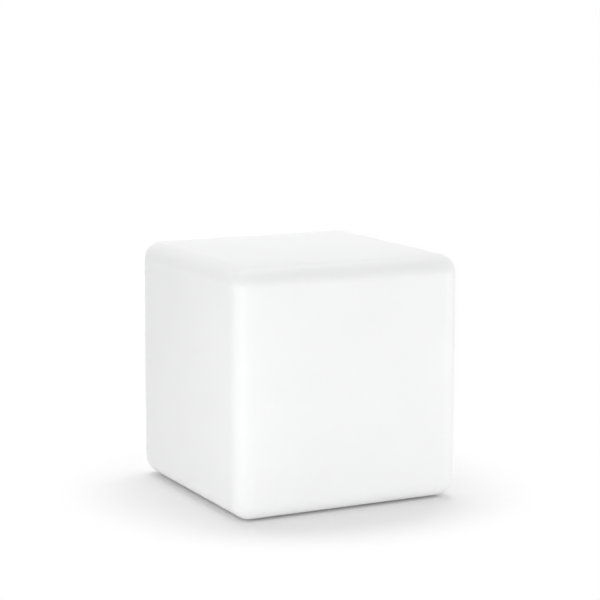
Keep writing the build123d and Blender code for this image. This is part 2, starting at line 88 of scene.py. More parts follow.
# Cube shell
EDGE_RADIUS = 31 * MM
SHELL_WALL = 4 * MM
RECESS_RADIUS = 103 * MM
RECESS_BEVEL = 3 * MM
MOUTH_RADIUS = 75 * MM
SLOT_HALF_WIDTH = 9 * MM
SLOT_ABOVE_AXIS = 5.75 * MM

# Moulded-in inserts
INSERT_COUNT = 6
INSERT_FLATS = 8 * MM
INSERT_HEAD_FLATS = 10 * MM
INSERT_HEAD_HEIGHT = 2 * MM
INSERT_BORE_RADIUS = 2.55 * MM
INSERT_BORE_DEPTH = 10.5 * MM
INSERT_BOSS_WALL = 3 * MM
INSERT_CHAMFER = 0.4 * MM
INSERT_FACE_SHARE = 0.95

# Screws: shares are of the shank's radius, or of the head's radius and height. The cross recess
# is scaled at its mouth and at its foot.
SCREW_PITCH = 0.8 * MM
SCREW_THREAD_DEPTH = 0.35 * MM
SCREW_EASING = 0.5 * MM
SCREW_POINT_LENGTH_SHARE = 0.4
SCREW_POINT_RADIUS_SHARE = 0.6
SCREW_FACE_RADIUS_SHARE = 0.62
SCREW_RIM_HEIGHT_SHARE = 0.45
CROSS_ARM_SHARE = 0.55
CROSS_HALF_WIDTH_SHARE = 0.11
CROSS_DEPTH_SHARE = 0.45
CROSS_OUTSIDE_SHARE = 1.2
CROSS_MOUTH_SCALE = 1.1
CROSS_FOOT_SCALE = 0.45
BASE_SCREW_RADIUS = 2.5 * MM
BASE_SCREW_HEAD_RADIUS = 4.75 * MM
BASE_SCREW_HEAD_HEIGHT = 3.3 * MM
BRIDGE_SCREW_RADIUS = 2 * MM
BRIDGE_SCREW_HEAD_RADIUS = 4 * MM
BRIDGE_SCREW_HEAD_HEIGHT = 2.6 * MM

# Feet: the grooves start at these shares of the radius and are this share of it wide
FOOT_RADIUS = 8 * MM
FOOT_PAD_HEIGHT = 4.5 * MM
FOOT_STEM_RADIUS = 3 * MM
FOOT_EASING = 0.7 * MM
FOOT_GROOVES = (0.30, 0.62)
FOOT_GROOVE_WIDTH_SHARE = 0.15
FOOT_GROOVE_DEPTH = 0.6 * MM

# Cable gland
GLAND_FLATS = 19 * MM
GLAND_THREAD_RADIUS = 8 * MM
GLAND_FRONT_RADIUS = 7.4 * MM
GLAND_BORE_RADIUS = 5 * MM
GLAND_NUT_HEX_LENGTH = 8 * MM
GLAND_NUT_NOSE_SHARE = 0.95
GLAND_NUT_NOSE_EASING = 3 * MM
GLAND_CHAMFER = 0.5 * MM
GLAND_PITCH = 1.5 * MM
GLAND_THREAD_DEPTH = 0.8 * MM
WASHER_EASING = 0.3 * MM
BUSH_EASING = 0.6 * MM
BUSH_OUTER_RADIUS = 5.95 * MM
CABLE_BORE_RADIUS = 3.75 * MM

# Lampholder
HOLDER_RADIUS = 19.5 * MM
HOLDER_NECK_RADIUS = 8 * MM
HOLDER_NECK_HEIGHT = 5 * MM
HOLDER_CONE_HEIGHT = 10 * MM
HOLDER_CAP_EASING = 0.8 * MM
HOLDER_BARREL_EASING = 0.5 * MM
HOLDER_WALL = 2 * MM
HOLDER_LIP_RADIUS = 17.9 * MM
HOLDER_LIP_WALL = 1.6 * MM
SOCKET_RADIUS = 13.5 * MM
FLUTE_COUNT = 12
FLUTE_RADIUS = 1.4 * MM
NIPPLE_RADIUS = 5 * MM
NIPPLE_BORE_RADIUS = 4 * MM
NIPPLE_PITCH = 1 * MM
NIPPLE_THREAD_DEPTH = 0.5 * MM
NIPPLE_EASING = 0.3 * MM
NIPPLE_NUT_FLATS = 14 * MM

# Bulb
CAP_PITCH = 25.4 / 7 * MM
CAP_THREAD_DEPTH = 0.8 * MM
CAP_SHEET = 0.4 * MM
CAP_PLAIN_FOOT = 0.5 * MM
CAP_PLAIN_RIM = 1 * MM
TIP_RADIUS = 4.7 * MM
TIP_UNEVENNESS = 0.03
GLASS_PLUG = 1 * MM
GLASS_RADIUS_POWER = 0.75
GLASS_HEIGHT_POWER = 1.3
HOUSING_FOOT_RADIUS = 14 * MM
HOUSING_COLLAR = 6 * MM
HOUSING_EASING = 3.6 * MM
HOUSING_EDGE_EASING = 0.4 * MM
GLOBE_RADIUS = 30 * MM
GLOBE_WALL = 1.2 * MM

# Nuts: the chamfer's inner radius as a share of that of the flats, and its angle
NUT_FACE_SHARE = 0.97
NUT_CHAMFER_ANGLE = 30
NUT_CHAMFER_STEPS = 5

# Lengths too small to count: between radii, between merged points, and of slivers beside a cut
TINY = 1e-7
SAME_PLACE = 1e-6
SLIVER = 0.005 * MM

# The most that an eased corner takes of each of its sides
MOST_EASING_SHARE = 0.45

# Fineness of the meshes: points around a turn, along curves, and along threads
TURN_STEPS = 96
SMALL_STEPS = 48
SCREW_STEPS = 36
BARREL_STEPS = 240
BULB_STEPS = 128
ROUND_STEPS = 10
FLAT_STEPS = 12
CORNER_STEPS = 4
NOSE_STEPS = 8
WAIST_STEPS = 10
SLOT_STEPS = 24
TIP_STEPS = 12
GLASS_STEPS = 10
GLOBE_STEPS = 40
BARREL_SPACING = 0.4 * MM
STEPS_PER_PITCH = 8
SCREW_STEPS_PER_PITCH = 6
CAP_STEPS_PER_PITCH = 14

# Degrees above which an edge is shaded sharp: in general, on the shell, and on the bulb's cap
SHARP_ANGLE = 35
SHELL_SHARP_ANGLE = 40
CAP_SHARP_ANGLE = 60

# Degrees for CAD nodes: edges above the first are rounded, and faces that meet below the second
# are joined
ROUNDED_ANGLE = 40
FLAT_ANGLE = 0.5

# CAD nodes that stay, with the width by which their edges are rounded
SOFTENED = {
    "base_pan": 0.4 * MM,
    "terminal_block": 0.3 * MM,
    "terminal_clamps": 0.2 * MM,
    "clamp_screws": 0.1 * MM,
    "block_screw": 0.1 * MM,
    "holder_bracket": 0.2 * MM,
    "holder_insert": 0.3 * MM,
    "centre_contact": 0.1 * MM,
    "side_contact": 0.1 * MM,
    "led_board": 0.1 * MM,
    "led_chips": 0.1 * MM,
}


def low(node):
    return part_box(node)[0]


def high(node):
    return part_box(node)[1]


def ring(radius, count):
    """Points evenly spaced on a circle about the Z axis, from the X axis on."""
    angles = [math.radians(360 * i / count) for i in range(count)]
    return [(radius * math.cos(a), radius * math.sin(a)) for a in angles]


def new_object(name, data):
    obj = bpy.data.objects.new(name, data)
    bpy.context.scene.collection.objects.link(obj)
    return obj


def mesh_object(name, bm):
    mesh = bpy.data.meshes.new(name)
    bmesh.ops.recalc_face_normals(bm, faces=bm.faces)
    bm.to_mesh(mesh)
    bm.free()
    return new_object(name, mesh)


def apply_modifiers(obj):
    """Turns what the modifiers make into the object's own mesh."""
    graph = bpy.context.evaluated_depsgraph_get()
    made = bpy.data.meshes.new_from_object(obj.evaluated_get(graph))
    obj.modifiers.clear()
    obj.data = made
    return obj


def cut(obj, tool):
    """Cuts another solid out of obj, deletes that solid, and clears slivers beside the cut."""
    modifier = obj.modifiers.new("cut", "BOOLEAN")
    modifier.object = tool
    modifier.operation = "DIFFERENCE"
    modifier.solver = "EXACT"
    apply_modifiers(obj)
    bpy.data.objects.remove(tool)
    bm = bmesh.new()
    bm.from_mesh(obj.data)
    bmesh.ops.remove_doubles(bm, verts=bm.verts, dist=SLIVER)
    bmesh.ops.dissolve_degenerate(bm, edges=bm.edges, dist=SLIVER)
    bm.to_mesh(obj.data)
    bm.free()
    return obj


def graded(half, radius):
    """Grid places along one side of a rounded block, evenly turned on the rounding."""
    flat = half - radius
    inner = [flat * (2 * i / FLAT_STEPS - 1) for i in range(FLAT_STEPS + 1)]
    turns = [math.pi / 4 * (i + 1) / ROUND_STEPS for i in range(ROUND_STEPS)]
    outer = [flat + radius * math.tan(turn) for turn in turns]
    return [-x for x in reversed(outer)] + inner + outer


def rounded_block(name, lowest, highest, radius):
    """A block whose edges and corners are true arcs, as one even mesh of quads."""
    centre = (lowest + highest) / 2
    half = (highest - lowest) / 2
    inner = half - Vector((radius, radius, radius))
    bm = bmesh.new()
    for axis in range(3):
        u, v = (axis + 1) % 3, (axis + 2) % 3
        us, vs = graded(half[u], radius), graded(half[v], radius)
        for side in (-1, 1):
            grid = []
            for a in us:
                row = []
                for b in vs:
                    point = Vector((0, 0, 0))
                    point[axis], point[u], point[v] = side * half[axis], a, b
                    core = Vector([max(-inner[i], min(inner[i], point[i])) for i in range(3)])
                    row.append(bm.verts.new(centre + core + (point - core).normalized() * radius))
                grid.append(row)
            for i in range(len(us) - 1):
                for j in range(len(vs) - 1):
                    bm.faces.new((grid[i][j], grid[i + 1][j], grid[i + 1][j + 1], grid[i][j + 1]))
    bmesh.ops.remove_doubles(bm, verts=bm.verts, dist=SAME_PLACE)
    return mesh_object(name, bm)


def lathe(name, outline, steps=TURN_STEPS, relief=None):
    """Turns an outline of (radius, height) points about Z, closed at the axis or else as a ring.

    relief(angle, radius, height) gives the radius that a point really has, for threads, flats
    and flutes.
    """
    bm = bmesh.new()
    rings = []
    for radius, level in outline:
        if radius < TINY:
            rings.append([bm.verts.new((0, 0, level))])
            continue
        points = []
        for i in range(steps):
            angle = 2 * math.pi * i / steps
            real = relief(angle, radius, level) if relief else radius
            points.append(bm.verts.new((real * math.cos(angle), real * math.sin(angle), level)))
        rings.append(points)
    pairs = list(zip(rings, rings[1:]))
    if outline[0][0] > TINY and outline[-1][0] > TINY:
        pairs.append((rings[-1], rings[0]))
    for first, second in pairs:
        for i in range(steps):
            j = (i + 1) % steps
            there = (first[i % len(first)], first[j % len(first)])
            back = (second[j % len(second)], second[i % len(second)])
            corners = list(dict.fromkeys(there + back))
            if len(corners) > 2:
                bm.faces.new(corners)
    return mesh_object(name, bm)


def slope(first, last, count):
    """Evenly spaced points of an outline from one corner to another."""
    x, y = first
    across, along = last[0] - x, last[1] - y
    return [(x + across * i / count, y + along * i / count) for i in range(count + 1)]


def eased(corners, easing, steps=CORNER_STEPS, closed=False):
    """Rounds the corners of an outline, each taken back by this length on both of its sides."""
    points = []
    count = len(corners)
    for i in range(count):
        if not closed and i in (0, count - 1):
            points.append(corners[i])
            continue
        corner = Vector(corners[i])
        ways = [Vector(corners[i - 1]) - corner, Vector(corners[(i + 1) % count]) - corner]
        lengths = [min(easing, MOST_EASING_SHARE * way.length) for way in ways]
        start, end = [corner + way.normalized() * length for way, length in zip(ways, lengths)]
        for k in range(steps + 1):
            t = k / steps
            points.append(tuple(start * (1 - t) ** 2 + corner * (2 * t * (1 - t)) + end * t**2))
    return points


def filled(outline, step, radius=None):
    """Divides an outline's sides into steps of about this length, or those at this radius."""
    points = [outline[0]]
    for first, second in zip(outline, outline[1:]):
        if radius is None or max(abs(first[0] - radius), abs(second[0] - radius)) < TINY:
            length = math.hypot(second[0] - first[0], second[1] - first[1])
            points += slope(first, second, max(1, round(length / step)))[1:-1]
        points.append(second)
    return points


def thread(radius, start, stop, pitch, depth, ends=1):
    """Relief of a right-hand thread in the side of this radius.

    Over its first and last pitch it fades to its root, or with ends at 0 to the full radius.
    """

    def relief(angle, r, z):
        if abs(r - radius) > TINY:
            return r
        fade = max(0, min(1, (z - start) / pitch, (stop - z) / pitch))
        crest = 0.5 + 0.5 * math.cos(2 * math.pi * z / pitch - angle)
        return r - depth * (ends * (1 - fade) + fade * (1 - crest))

    return relief


def hexagon(flats):
    """Relief that cuts a turned outline down to a hexagon with a corner on the X axis."""

    def relief(angle, r, z):
        return min(r, flats / 2 / math.cos(angle % (math.pi / 3) - math.pi / 6))

    return relief


def chained(*reliefs):
    def relief(angle, r, z):
        for each in reliefs:
            r = each(angle, r, z)
        return r

    return relief


def hexagon_side(flats, bottom, top):
    """A nut's outside as an outline that hexagon cuts to its flats, chamfered at both ends."""
    corner = flats / math.sqrt(3)
    inner = NUT_FACE_SHARE * flats / 2
    chamfer = (corner - inner) * math.tan(math.radians(NUT_CHAMFER_ANGLE))
    lower = slope((inner, bottom), (corner, bottom + chamfer), NUT_CHAMFER_STEPS)
    upper = slope((corner, top - chamfer), (inner, top), NUT_CHAMFER_STEPS)
    return lower + upper


def prism(name, outline, first, last):
    """A solid between two copies of an outline in X and Y, each given by its level and scale."""
    bm = bmesh.new()
    ends = []
    for level, scale in (first, last):
        ends.append([bm.verts.new((x * scale, y * scale, level)) for x, y in outline])
    for i in range(len(outline)):
        j = (i + 1) % len(outline)
        bm.faces.new((ends[0][i], ends[0][j], ends[1][j], ends[1][i]))
    bm.faces.new(ends[0])
    bm.faces.new(ends[1])
    return mesh_object(name, bm)


def moved(obj, matrix):
    obj.data.transform(matrix)
    return obj


def shifted(x, y, z):
    return Matrix.Translation((x, y, z))


def slot_prism(name, half_width, top, start, end):
    """A round-topped bar along Y, from the floor up."""
    spring = top - half_width
    outline = [(-half_width, 0), (half_width, 0)]
    for i in range(SLOT_STEPS + 1):
        angle = math.pi * i / SLOT_STEPS
        outline.append((half_width * math.cos(angle), spring + half_width * math.sin(angle)))
    bar = prism(name, outline, (-end, 1), (-start, 1))
    return moved(bar, Matrix.Rotation(math.pi / 2, 4, "X"))


def gland_axis():
    return (low("gland_body").z + high("gland_body").z) / 2


def laid_on_gland_axis(obj, start):
    """Lays a piece turned about Z onto the gland's axis: foot at start, top to the rear."""
    return moved(obj, shifted(0, start, gland_axis()) @ Matrix.Rotation(-math.pi / 2, 4, "X"))


def copies(name, source, matrices):
    """One mesh with a copy of the source at each place; the source is deleted."""
    bm = bmesh.new()
    for matrix in matrices:
        mesh = source.data.copy()
        mesh.transform(matrix)
        bm.from_mesh(mesh)
        bpy.data.meshes.remove(mesh)
    bpy.data.objects.remove(source)
    return mesh_object(name, bm)


def dress(obj, node, angle=SHARP_ANGLE):
    """Finishes a piece that stands for one CAD node: material, shading, and the body it rides."""
    obj.name = f"{node}_finished"
    obj.data.materials.clear()
    obj.data.materials.append(FINISHES[SLOTS[node]])
    for face in obj.data.polygons:
        face.material_index = 0
        face.use_smooth = True
    obj.data.set_sharp_from_angle(angle=math.radians(angle))
    weighted = obj.modifiers.new("weighted", "WEIGHTED_NORMAL")
    weighted.keep_sharp = True
    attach(obj, frame["nodes"][node]["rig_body"])
    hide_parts(node)
    return obj


def insert_places():
    """Centres of the moulded-in inserts, midway between the mouth and the pan's rim."""
    return ring((MOUTH_RADIUS + high("base_pan").x) / 2, INSERT_COUNT)


def insert_solid(name, inside):
    """A hexagonal insert with a wider head, standing on the origin.

    Its outline begins with the points of its inside.
    """
    height = high("threaded_inserts").z - low("threaded_inserts").z
    neck = height - INSERT_HEAD_HEIGHT
    body = INSERT_FLATS / math.sqrt(3)
    head = INSERT_HEAD_FLATS / math.sqrt(3)
    outline = inside + [(body, neck), (head, neck), (head, height), (0, height)]

    def relief(angle, r, z):
        if r < INSERT_FLATS / 2:
            return r
        return r * math.cos(math.pi / 6) / math.cos(angle % (math.pi / 3) - math.pi / 6)

    return lathe(name, outline, SMALL_STEPS, relief)


def diffuser_shell():
    """The hollow cube, with the recess, mouth, insert bosses and cable slot in its underside."""
    lowest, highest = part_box("diffuser_shell")
    wall = Vector((SHELL_WALL, SHELL_WALL, SHELL_WALL))
    ceiling = high("base_gasket").z
    ceiling_top = ceiling + SHELL_WALL
    outer = RECESS_RADIUS + SHELL_WALL
    slot_top = gland_axis() + SLOT_ABOVE_AXIS
    bevel = RECESS_BEVEL
    skin = rounded_block("skin", lowest, highest, EDGE_RADIUS)
    cavity = rounded_block("cavity", lowest + wall, highest - wall, EDGE_RADIUS - SHELL_WALL)
    cover = [
        (0, 0),
        (outer, 0),
        (outer, ceiling_top - bevel),
        (outer - bevel, ceiling_top),
        (0, ceiling_top),
    ]
    cut(cavity, lathe("cover", cover))
    cover_width, cover_top = SLOT_HALF_WIDTH + SHELL_WALL, slot_top + SHELL_WALL
    cut(cavity, slot_prism("slot_cover", cover_width, cover_top, MOUTH_RADIUS, highest.y))
    boss_radius = INSERT_HEAD_FLATS / math.sqrt(3) + INSERT_BOSS_WALL
    boss_top = high("threaded_inserts").z + SHELL_WALL
    boss = [(0, ceiling), (boss_radius, ceiling), (boss_radius, boss_top), (0, boss_top)]
    for x, y in insert_places():
        cut(cavity, moved(lathe("boss", boss, SMALL_STEPS), shifted(x, y, 0)))
    cut(skin, cavity)
    recess = [
        (0, lowest.z - bevel),
        (RECESS_RADIUS + 2 * bevel, lowest.z - bevel),
        (RECESS_RADIUS, lowest.z + bevel),
        (RECESS_RADIUS, ceiling - bevel),
        (RECESS_RADIUS - bevel, ceiling),
        (0, ceiling),
    ]
    cut(skin, lathe("recess", recess))
    below, above = ceiling - SHELL_WALL, ceiling_top + SHELL_WALL
    mouth = [(0, below), (MOUTH_RADIUS, below), (MOUTH_RADIUS, above), (0, above)]
    cut(skin, lathe("mouth", mouth))
    beyond = highest.y + SHELL_WALL
    cut(skin, slot_prism("slot", SLOT_HALF_WIDTH, slot_top, MOUTH_RADIUS, beyond))
    pocket_foot = [(0, -SHELL_WALL), (INSERT_FLATS / math.sqrt(3), -SHELL_WALL)]
    for x, y in insert_places():
        cut(skin, moved(insert_solid("pocket", pocket_foot), shifted(x, y, ceiling)))
    return dress(skin, "diffuser_shell", SHELL_SHARP_ANGLE)


def threaded_inserts():
    bore, depth, chamfer = INSERT_BORE_RADIUS, INSERT_BORE_DEPTH, INSERT_CHAMFER
    inside = [(0, depth), (bore, depth - chamfer), (bore, chamfer), (bore + chamfer, 0)]
    face = [(INSERT_FACE_SHARE * INSERT_FLATS / 2, 0), (INSERT_FLATS / math.sqrt(3), chamfer)]
    insert = insert_solid("insert", inside + face)
    level = low("threaded_inserts").z
    places = [shifted(x, y, level) for x, y in insert_places()]
    return dress(copies("inserts", insert, places), "threaded_inserts")


def cross_head_screw(shank, head, head_height, length):
    """A threaded pan-head screw with a cross recess, standing on its head, its seat at 0."""
    thread_end = length - SCREW_POINT_LENGTH_SHARE * shank
    corners = [
        (0, -head_height),
        (SCREW_FACE_RADIUS_SHARE * head, -head_height),
        (head, -SCREW_RIM_HEIGHT_SHARE * head_height),
        (head, 0),
        (shank, 0),
        (shank, thread_end),
        (SCREW_POINT_RADIUS_SHARE * shank, length),
        (0, length),
    ]
    outline = filled(eased(corners, SCREW_EASING), SCREW_PITCH / SCREW_STEPS_PER_PITCH, shank)
    relief = thread(shank, 0, thread_end, SCREW_PITCH, SCREW_THREAD_DEPTH)
    screw = lathe("screw", outline, SCREW_STEPS, relief)
    arm, half = CROSS_ARM_SHARE * head, CROSS_HALF_WIDTH_SHARE * head
    cross = []
    for quarter in range(4):
        cos, sin = math.cos(math.pi / 2 * quarter), math.sin(math.pi / 2 * quarter)
        for x, y in ((arm, -half), (arm, half), (half, half)):
            cross.append((x * cos - y * sin, x * sin + y * cos))
    mouth = (-CROSS_OUTSIDE_SHARE * head_height, CROSS_MOUTH_SCALE)
    foot = (-CROSS_DEPTH_SHARE * head_height, CROSS_FOOT_SCALE)
    return cut(screw, prism("cross", cross, mouth, foot))


def base_screws():
    level = high("base_screws").z
    length = level - low("base_screws").z - BASE_SCREW_HEAD_HEIGHT
    head = (BASE_SCREW_HEAD_RADIUS, BASE_SCREW_HEAD_HEIGHT)
    screw = cross_head_screw(BASE_SCREW_RADIUS, *head, length)
    places = [shifted(x, y, level - length) for x, y in insert_places()]
    return dress(copies("screws", screw, places), "base_screws")


def bridge_screws():
    lowest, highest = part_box("bridge_screws")
    seat = highest.z - BRIDGE_SCREW_HEAD_HEIGHT
    head = (BRIDGE_SCREW_HEAD_RADIUS, BRIDGE_SCREW_HEAD_HEIGHT)
    screw = cross_head_screw(BRIDGE_SCREW_RADIUS, *head, seat - lowest.z)
    offset = highest.x - BRIDGE_SCREW_HEAD_RADIUS
    turned_over = Matrix.Rotation(math.pi, 4, "X")
    places = [shifted(x, 0, seat) @ turned_over for x in (-offset, offset)]
    return dress(copies("screws", screw, places), "bridge_screws")


def rubber_feet():
    """Pads with a rounded rim and two grooves in the sole, on stems that plug into the pan."""
    highest = high("rubber_feet")
    sole = [(0, 0)]
    for groove in FOOT_GROOVES:
        start = groove * FOOT_RADIUS
        end = (groove + FOOT_GROOVE_WIDTH_SHARE) * FOOT_RADIUS
        sole += [(start, 0), (start, FOOT_GROOVE_DEPTH), (end, FOOT_GROOVE_DEPTH), (end, 0)]
    upper = [
        (FOOT_RADIUS, 0),
        (FOOT_RADIUS, FOOT_PAD_HEIGHT),
        (FOOT_STEM_RADIUS, FOOT_PAD_HEIGHT),
        (FOOT_STEM_RADIUS, highest.z),
        (0, highest.z),
    ]
    foot = lathe("foot", eased(sole + upper, FOOT_EASING), SMALL_STEPS)
    offset = highest.x - FOOT_RADIUS
    places = [shifted(x, y, 0) for x in (-offset, offset) for y in (-offset, offset)]
    return dress(copies("feet", foot, places), "rubber_feet")


def gland_body():
    """Hexagon with a threaded tail through the well's wall and a threaded front under the nut."""
    start = high("gland_washer").y
    tail, front = low("gland_body").y - start, high("gland_body").y - start
    hexagon_top = low("gland_nut").y - start
    outline = [
        (GLAND_BORE_RADIUS, tail),
        (GLAND_THREAD_RADIUS - GLAND_CHAMFER, tail),
        (GLAND_THREAD_RADIUS, tail + GLAND_CHAMFER),
        (GLAND_THREAD_RADIUS, 0),
        *hexagon_side(GLAND_FLATS, 0, hexagon_top),
        (GLAND_FRONT_RADIUS, hexagon_top),
        (GLAND_FRONT_RADIUS, front - GLAND_CHAMFER),
        (GLAND_FRONT_RADIUS - GLAND_CHAMFER, front),
        (BUSH_OUTER_RADIUS, front),
        (BUSH_OUTER_RADIUS, hexagon_top),
        (GLAND_BORE_RADIUS, hexagon_top),
    ]
    for radius in (GLAND_THREAD_RADIUS, GLAND_FRONT_RADIUS):
        outline = filled(outline, GLAND_PITCH / STEPS_PER_PITCH, radius)
    relief = chained(
        thread(GLAND_THREAD_RADIUS, tail, 0, GLAND_PITCH, GLAND_THREAD_DEPTH),
        thread(GLAND_FRONT_RADIUS, hexagon_top, front, GLAND_PITCH, GLAND_THREAD_DEPTH),
        hexagon(GLAND_FLATS),
    )
    body = lathe("body", outline, TURN_STEPS, relief)
    return dress(laid_on_gland_axis(body, start), "gland_body")


def gland_nut():
    """Clamping nut with a rounded nose over the bush."""
    start, end = low("gland_nut").y, high("gland_nut").y
    length = end - start
    nose = GLAND_NUT_NOSE_SHARE * GLAND_FLATS / 2
    easing = GLAND_NUT_NOSE_EASING
    inside = high("gland_body").y - start
    shoulder = [(nose, GLAND_NUT_HEX_LENGTH), (nose, length - easing), (nose - easing, length)]
    outline = [
        (GLAND_FRONT_RADIUS, 0),
        *hexagon_side(GLAND_FLATS, 0, GLAND_NUT_HEX_LENGTH),
        *eased(shoulder, easing, NOSE_STEPS),
        (GLAND_BORE_RADIUS + GLAND_CHAMFER, length),
        (GLAND_BORE_RADIUS, length - GLAND_CHAMFER),
        (GLAND_BORE_RADIUS, inside),
        (GLAND_FRONT_RADIUS, inside),
    ]
    nut = lathe("nut", outline, TURN_STEPS, hexagon(GLAND_FLATS))
    return dress(laid_on_gland_axis(nut, start), "gland_nut")


def gland_locknut():
    start, end = low("gland_locknut").y, high("gland_locknut").y
    side = hexagon_side(GLAND_FLATS, 0, end - start)
    outline = [(GLAND_THREAD_RADIUS, 0), *side, (GLAND_THREAD_RADIUS, end - start)]
    nut = lathe("nut", outline, TURN_STEPS, hexagon(GLAND_FLATS))
    return dress(laid_on_gland_axis(nut, start), "gland_locknut")


def gland_ring(node, inner, outer, easing):
    """A soft ring on the gland's axis with rounded edges, such as its washer or its bush."""
    start, end = low(node).y, high(node).y
    corners = [(inner, 0), (outer, 0), (outer, end - start), (inner, end - start)]
    soft = lathe("ring", eased(corners, easing, closed=True), TURN_STEPS)
    return dress(laid_on_gland_axis(soft, start), node)


def holder_nipple():
    """Threaded tube that holds the lampholder to the bridge."""
    bottom, top = low("holder_nipple").z, high("holder_nipple").z
    corners = [
        (NIPPLE_BORE_RADIUS, bottom),
        (NIPPLE_RADIUS, bottom),
        (NIPPLE_RADIUS, top),
        (NIPPLE_BORE_RADIUS, top),
    ]
    rounded = eased(corners, NIPPLE_EASING, closed=True)
    outline = filled(rounded, NIPPLE_PITCH / STEPS_PER_PITCH, NIPPLE_RADIUS)
    relief = thread(NIPPLE_RADIUS, bottom, top, NIPPLE_PITCH, NIPPLE_THREAD_DEPTH)
    return dress(lathe("nipple", outline, SMALL_STEPS, relief), "holder_nipple")


def nipple_nut():
    bottom, top = low("nipple_nut").z, high("nipple_nut").z
    side = hexagon_side(NIPPLE_NUT_FLATS, bottom, top)
    outline = [(NIPPLE_RADIUS, bottom), *side, (NIPPLE_RADIUS, top)]
    return dress(lathe("nut", outline, SMALL_STEPS, hexagon(NIPPLE_NUT_FLATS)), "nipple_nut")


def holder_cap():
    """Cap with a neck, a cone and a plain band whose thinner lip takes the barrel."""
    bottom, top = low("holder_cap").z, high("holder_cap").z
    neck_top = bottom + HOLDER_NECK_HEIGHT
    cone_top = neck_top + HOLDER_CONE_HEIGHT
    rim = low("holder_barrel").z
    inner = HOLDER_LIP_RADIUS - HOLDER_LIP_WALL
    corners = [
        (NIPPLE_RADIUS, bottom),
        (HOLDER_NECK_RADIUS, bottom),
        (HOLDER_NECK_RADIUS, neck_top),
        (HOLDER_RADIUS, cone_top),
        (HOLDER_RADIUS, rim),
        (HOLDER_LIP_RADIUS, rim),
        (HOLDER_LIP_RADIUS, top),
        (inner, top),
        (inner, cone_top + HOLDER_WALL),
        (NIPPLE_RADIUS, neck_top + HOLDER_WALL),
    ]
    return dress(lathe("cap", eased(corners, HOLDER_CAP_EASING, closed=True)), "holder_cap")


def flutes(bottom, top):
    """Relief of upright, round-ended flutes in the outside of the barrel."""
    spacing = 2 * math.pi / FLUTE_COUNT
    centre = HOLDER_RADIUS + FLUTE_RADIUS / 3

    def relief(angle, r, z):
        if r < HOLDER_RADIUS - HOLDER_WALL / 2:
            return r
        across = centre * math.sin((angle + spacing / 2) % spacing - spacing / 2)
        beyond = max(0, bottom + FLUTE_RADIUS - z, z - top + FLUTE_RADIUS)
        left = FLUTE_RADIUS**2 - across**2 - beyond**2
        return min(r, centre - math.sqrt(left)) if left > 0 else r

    return relief


def holder_barrel():
    """Barrel with grip flutes outside and a moulded thread inside, in step with the bulb's."""
    bottom, top = low("holder_barrel").z, high("holder_barrel").z
    seat = high("holder_insert").z
    taper = HOLDER_WALL / 2
    corners = [
        (HOLDER_LIP_RADIUS, seat),
        (HOLDER_LIP_RADIUS, bottom),
        (HOLDER_RADIUS, bottom),
        (HOLDER_RADIUS - taper, top),
        (SOCKET_RADIUS + taper, top),
        (SOCKET_RADIUS, top - 2 * taper),
        (SOCKET_RADIUS, seat),
    ]
    outline = filled(eased(corners, HOLDER_BARREL_EASING, closed=True), BARREL_SPACING)
    span = (low("bulb_cap").z, top - 2 * taper)
    relief = chained(
        flutes(bottom + HOLDER_WALL, (bottom + top) / 2),
        thread(SOCKET_RADIUS, *span, CAP_PITCH, CAP_THREAD_DEPTH, ends=0),
    )
    return dress(lathe("barrel", outline, BARREL_STEPS, relief), "holder_barrel")


def bulb_tip():
    """Drop of solder, not quite round."""
    lowest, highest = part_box("bulb_tip")
    height = highest.z - lowest.z
    outline = [(0, highest.z)]
    for i in range(TIP_STEPS + 1):
        turn = math.pi / 2 * i / TIP_STEPS
        outline.append((TIP_RADIUS * math.cos(turn), highest.z - height * math.sin(turn)))
    outline[-1] = (0, lowest.z)

    def uneven(angle, r, z):
        return r * (1 - TIP_UNEVENNESS + TIP_UNEVENNESS * math.cos(3 * angle))

    return dress(lathe("tip", outline, SMALL_STEPS, uneven), "bulb_tip")


def bulb_insulator():
    """Black glass between tip and cap, hollowed a little towards the cap and held in its rim."""
    bottom, rim = low("bulb_insulator").z, low("bulb_cap").z
    radius = high("bulb_cap").x - CAP_THREAD_DEPTH - CAP_SHEET
    outline = [(0, bottom), (TIP_RADIUS, bottom)]
    for i in range(1, GLASS_STEPS + 1):
        t = i / GLASS_STEPS
        out = TIP_RADIUS + (radius - TIP_RADIUS) * t**GLASS_RADIUS_POWER
        outline.append((out, bottom + (rim - bottom) * t**GLASS_HEIGHT_POWER))
    outline += [(radius, rim + GLASS_PLUG), (0, rim + GLASS_PLUG)]
    return dress(lathe("insulator", outline), "bulb_insulator")


def bulb_cap():
    """Screw cap rolled from thin sheet, so that its thread shows inside and out."""
    lowest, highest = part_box("bulb_cap")
    outer, inner = highest.x, highest.x - CAP_SHEET
    count = round((highest.z - lowest.z) / (CAP_PITCH / CAP_STEPS_PER_PITCH))
    outside = slope((outer, lowest.z), (outer, highest.z), count)
    inside = slope((inner, highest.z), (inner, lowest.z), count)
    span = (lowest.z + CAP_PLAIN_FOOT, highest.z - CAP_PLAIN_RIM)
    relief = chained(*[thread(r, *span, CAP_PITCH, CAP_THREAD_DEPTH) for r in (outer, inner)])
    cap = lathe("cap", outside + inside, TURN_STEPS, relief)
    return dress(cap, "bulb_cap", CAP_SHARP_ANGLE)


